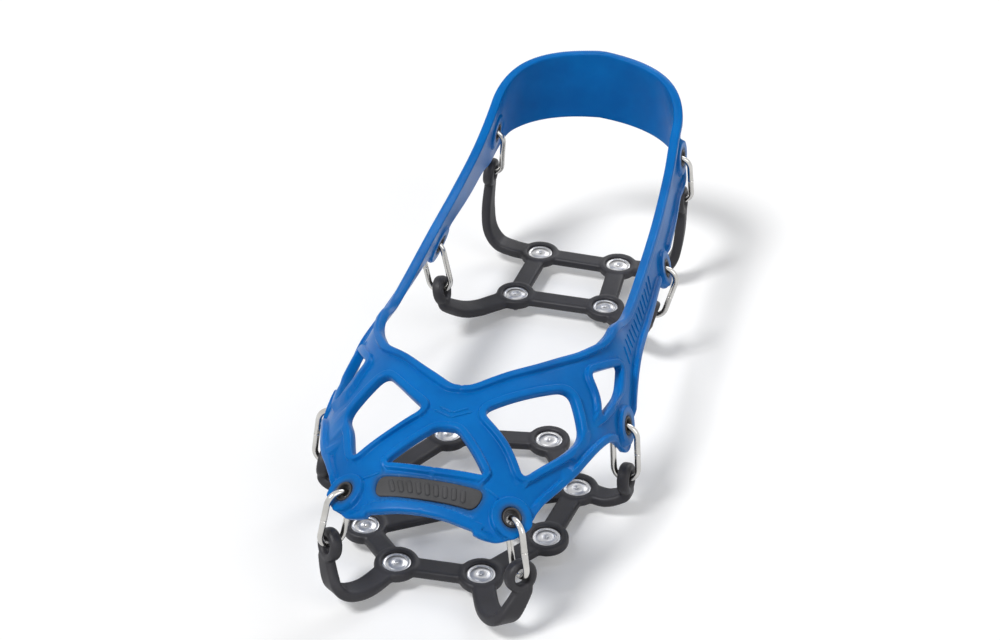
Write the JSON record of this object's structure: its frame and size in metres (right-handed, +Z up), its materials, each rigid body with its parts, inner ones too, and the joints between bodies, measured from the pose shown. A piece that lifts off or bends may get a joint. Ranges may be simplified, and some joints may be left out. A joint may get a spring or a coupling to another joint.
{
  "type": "shoe ice cleats",
  "caption": "Pull-on ice cleats: a stretch elastomer harness over a shoe, with steel links to spiked traction mats under the forefoot and the heel",
  "frame": {"origin": "middle of the object's box at the level of the spike tips", "axes": "+Z up, +Y from the toe to the heel, +X to the right when the object is seen from the toe side looking to the heel"},
  "size_m": [0.1256, 0.28, 0.094],
  "materials": {
    "harness": "satin moulded elastomer, slightly translucent blue",
    "hard_trim": "matte dark grey moulded plastic",
    "link": "polished stainless steel wire",
    "mat": "matte black moulded elastomer",
    "spike_body": "turned aluminium",
    "spike_tip": "ground hard metal"
  },
  "bodies": {
    "harness": {"harness": "harness", "name_plate": "hard_trim", "eyelet_toe_r": "hard_trim", "eyelet_toe_l": "hard_trim", "eyelet_ball_r": "hard_trim", "eyelet_ball_l": "hard_trim", "eyelet_arch_r": "hard_trim", "eyelet_arch_l": "hard_trim", "eyelet_heel_r": "hard_trim", "eyelet_heel_l": "hard_trim"},
    "forefoot_mat": {"forefoot_mat": "mat", "spike_body_fore_1_r": "spike_body", "spike_body_fore_1_l": "spike_body", "spike_body_fore_2_r": "spike_body", "spike_body_fore_2_l": "spike_body", "spike_body_fore_3_r": "spike_body", "spike_body_fore_3_l": "spike_body", "spike_body_fore_4_r": "spike_body", "spike_body_fore_4_l": "spike_body", "spike_tip_fore_1_r": "spike_tip", "spike_tip_fore_1_l": "spike_tip", "spike_tip_fore_2_r": "spike_tip", "spike_tip_fore_2_l": "spike_tip", "spike_tip_fore_3_r": "spike_tip", "spike_tip_fore_3_l": "spike_tip", "spike_tip_fore_4_r": "spike_tip", "spike_tip_fore_4_l": "spike_tip"},
    "heel_mat": {"heel_mat": "mat", "spike_body_heel_1_r": "spike_body", "spike_body_heel_1_l": "spike_body", "spike_body_heel_2_r": "spike_body", "spike_body_heel_2_l": "spike_body", "spike_tip_heel_1_r": "spike_tip", "spike_tip_heel_1_l": "spike_tip", "spike_tip_heel_2_r": "spike_tip", "spike_tip_heel_2_l": "spike_tip"},
    "link_toe_r": {"link_toe_r": "link"},
    "link_toe_l": {"link_toe_l": "link"},
    "link_ball_r": {"link_ball_r": "link"},
    "link_ball_l": {"link_ball_l": "link"},
    "link_arch_r": {"link_arch_r": "link"},
    "link_arch_l": {"link_arch_l": "link"},
    "link_heel_r": {"link_heel_r": "link"},
    "link_heel_l": {"link_heel_l": "link"}
  },
  "joints": [
    {"name": "forefoot_shift", "type": "slide", "parent": "harness", "child": "forefoot_mat", "axis": [0, 1, 0], "range_m": [-0.002, 0.002]},
    {"name": "heel_shift", "type": "slide", "parent": "harness", "child": "heel_mat", "axis": [0, 1, 0], "range_m": [-0.002, 0.002]},
    {"name": "link_toe_r_swing", "type": "hinge", "parent": "harness", "child": "link_toe_r", "pos_m": [0.02999, -0.12249, 0.04692], "axis": [1, 0, 0], "range_deg": [-6.5, 6.5]},
    {"name": "link_toe_l_swing", "type": "hinge", "parent": "harness", "child": "link_toe_l", "pos_m": [-0.02999, -0.12451, 0.04692], "axis": [1, 0, 0], "range_deg": [-6.5, 6.5]},
    {"name": "link_ball_r_swing", "type": "hinge", "parent": "harness", "child": "link_ball_r", "pos_m": [0.05433, -0.04901, 0.03887], "axis": [1, 0, 0], "range_deg": [-6, 6]},
    {"name": "link_ball_l_swing", "type": "hinge", "parent": "harness", "child": "link_ball_l", "pos_m": [-0.05433, -0.06999, 0.03887], "axis": [1, 0, 0], "range_deg": [-6, 6]},
    {"name": "link_arch_r_swing", "type": "hinge", "parent": "harness", "child": "link_arch_r", "pos_m": [0.04791, 0.04962, 0.04601], "axis": [1, 0, 0], "range_deg": [-6, 6]},
    {"name": "link_arch_l_swing", "type": "hinge", "parent": "harness", "child": "link_arch_l", "pos_m": [-0.04791, 0.04338, 0.04601], "axis": [1, 0, 0], "range_deg": [-6, 6]},
    {"name": "link_heel_r_swing", "type": "hinge", "parent": "harness", "child": "link_heel_r", "pos_m": [0.04138, 0.10916, 0.06411], "axis": [1, 0, 0], "range_deg": [-6, 6]},
    {"name": "link_heel_l_swing", "type": "hinge", "parent": "harness", "child": "link_heel_l", "pos_m": [-0.04138, 0.10984, 0.06411], "axis": [1, 0, 0], "range_deg": [-6, 6]}
  ],
  "couplings": [
    {"joint": "link_toe_r_swing", "follows": "forefoot_shift", "rad_per_m": 49.393},
    {"joint": "link_toe_l_swing", "follows": "forefoot_shift", "rad_per_m": 49.303},
    {"joint": "link_ball_r_swing", "follows": "forefoot_shift", "rad_per_m": 45.666},
    {"joint": "link_ball_l_swing", "follows": "forefoot_shift", "rad_per_m": 45.672},
    {"joint": "link_arch_r_swing", "follows": "heel_shift", "rad_per_m": 46.501},
    {"joint": "link_arch_l_swing", "follows": "heel_shift", "rad_per_m": 46.501},
    {"joint": "link_heel_r_swing", "follows": "heel_shift", "rad_per_m": 44.813},
    {"joint": "link_heel_l_swing", "follows": "heel_shift", "rad_per_m": 44.813}
  ]
}
